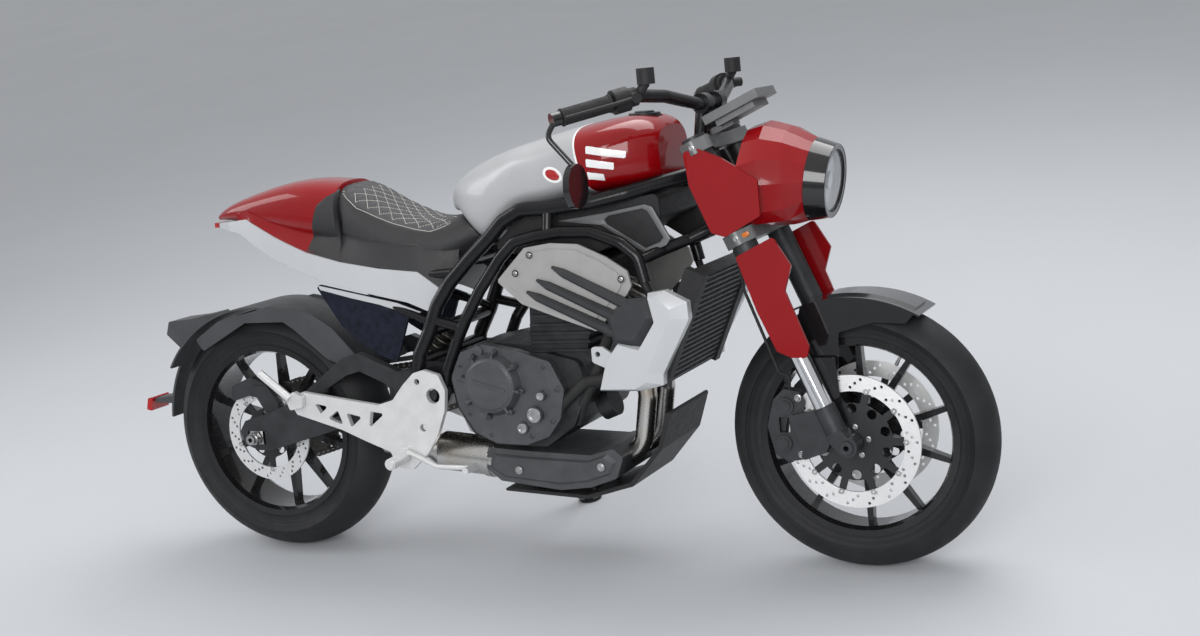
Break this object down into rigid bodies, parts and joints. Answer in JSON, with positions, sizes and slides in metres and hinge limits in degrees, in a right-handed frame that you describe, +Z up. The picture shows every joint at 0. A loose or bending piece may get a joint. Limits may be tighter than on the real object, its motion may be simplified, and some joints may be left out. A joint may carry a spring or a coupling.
{
  "type": "cafe racer motorcycle",
  "caption": "Cafe racer motorcycle with a parallel twin, round headlamp, red and silver bodywork, solo seat with tail hump, leaning on its side stand.",
  "frame": {"origin": "on the floor, at the middle of the overall box", "axes": "+X forwards, +Y to the rider's left, +Z up; the bike leans 10 degrees to its left on the side stand"},
  "size_m": [2.2672, 0.9192, 1.1741],
  "materials": {
    "frame_black": "satin black paint",
    "engine_black": "dark satin coating",
    "silver_paint": "silver metallic gloss",
    "red_paint": "deep red gloss",
    "cast_alloy": "cast and brushed",
    "dark_alloy": "dark anodised",
    "satin_plate": "satin grey",
    "bright_steel": "brushed",
    "chrome": "polished",
    "seat_leather": "black quilted",
    "navy_panel": "dark navy grain",
    "black_plastic": "matt black",
    "gloss_black": "gloss black",
    "rubber": "matt",
    "tyre": "road tyre",
    "wheel_black": "gloss black",
    "disc_steel": "ground and drilled",
    "lens": "clear",
    "lamp_red": "red lens",
    "chain_steel": "oiled"
  },
  "bodies": {
    "chassis": {"frame": "frame_black", "subframe": "frame_black", "engine": "engine_black", "engine_covers": "engine_black", "stand_bracket": "frame_black", "airbox": "black_plastic", "tank_rear": "silver_paint", "tank_front": "red_paint", "filler_cap": "dark_alloy", "seat": "seat_leather", "tail_cowl": "red_paint", "tail_band": "silver_paint", "under_panels": "navy_panel", "side_covers": "satin_plate", "side_scoops": "dark_alloy", "radiator_shrouds": "silver_paint", "radiator": "black_plastic", "coolant_hoses": "rubber", "header_pipes": "bright_steel", "silencer": "dark_alloy", "exhaust_can": "bright_steel", "belly_guard": "black_plastic", "footrest_plates": "cast_alloy", "pegs": "dark_alloy", "swingarm": "dark_alloy", "axle_blocks": "bright_steel", "rear_shock": "chain_steel", "rear_axle": "bright_steel", "rear_guards": "dark_alloy", "rear_caliper": "dark_alloy", "plate_holder": "black_plastic", "rear_lamps": "lamp_red", "chain": "chain_steel"},
    "steering": {"front_axle": "bright_steel", "fork_clamps": "dark_alloy", "fork_tubes": "engine_black", "fork_sliders": "chrome", "fork_feet": "dark_alloy", "fork_covers": "red_paint", "headlamp_shell": "red_paint", "headlamp_bezel": "gloss_black", "headlamp_lens": "lens", "dash": "black_plastic", "handlebar": "frame_black", "grips": "rubber", "bar_controls": "black_plastic", "mirrors": "gloss_black", "front_mudguard": "gloss_black", "front_calipers": "dark_alloy", "brake_hoses": "rubber"},
    "front_wheel": {"front_wheel_rim": "wheel_black", "front_tyre": "tyre", "front_discs": "disc_steel"},
    "rear_wheel": {"rear_wheel_rim": "wheel_black", "rear_tyre": "tyre", "rear_disc": "disc_steel", "rear_sprocket": "chain_steel"},
    "side_stand": {"side_stand": "frame_black"}
  },
  "joints": [
    {"name": "steering", "type": "hinge", "parent": "chassis", "child": "steering", "pos_m": [0.57667, -0.01264, 0.83101], "axis": [-0.3827, 0.1604, 0.9098], "range_deg": [-28, 28]},
    {"name": "front_wheel", "type": "hinge", "parent": "steering", "child": "front_wheel", "pos_m": [0.834, -0.10691, 0.29641], "axis": [0, 0.9848, -0.1736], "continuous": true},
    {"name": "rear_wheel", "type": "hinge", "parent": "chassis", "child": "rear_wheel", "pos_m": [-0.706, -0.10475, 0.30861], "axis": [0, 0.9848, -0.1736], "continuous": true},
    {"name": "side_stand", "type": "hinge", "parent": "chassis", "child": "side_stand", "pos_m": [-0.066, 0.01255, 0.23676], "axis": [0.0328, 0.8804, 0.473], "range_deg": [0, 94.84]}
  ]
}
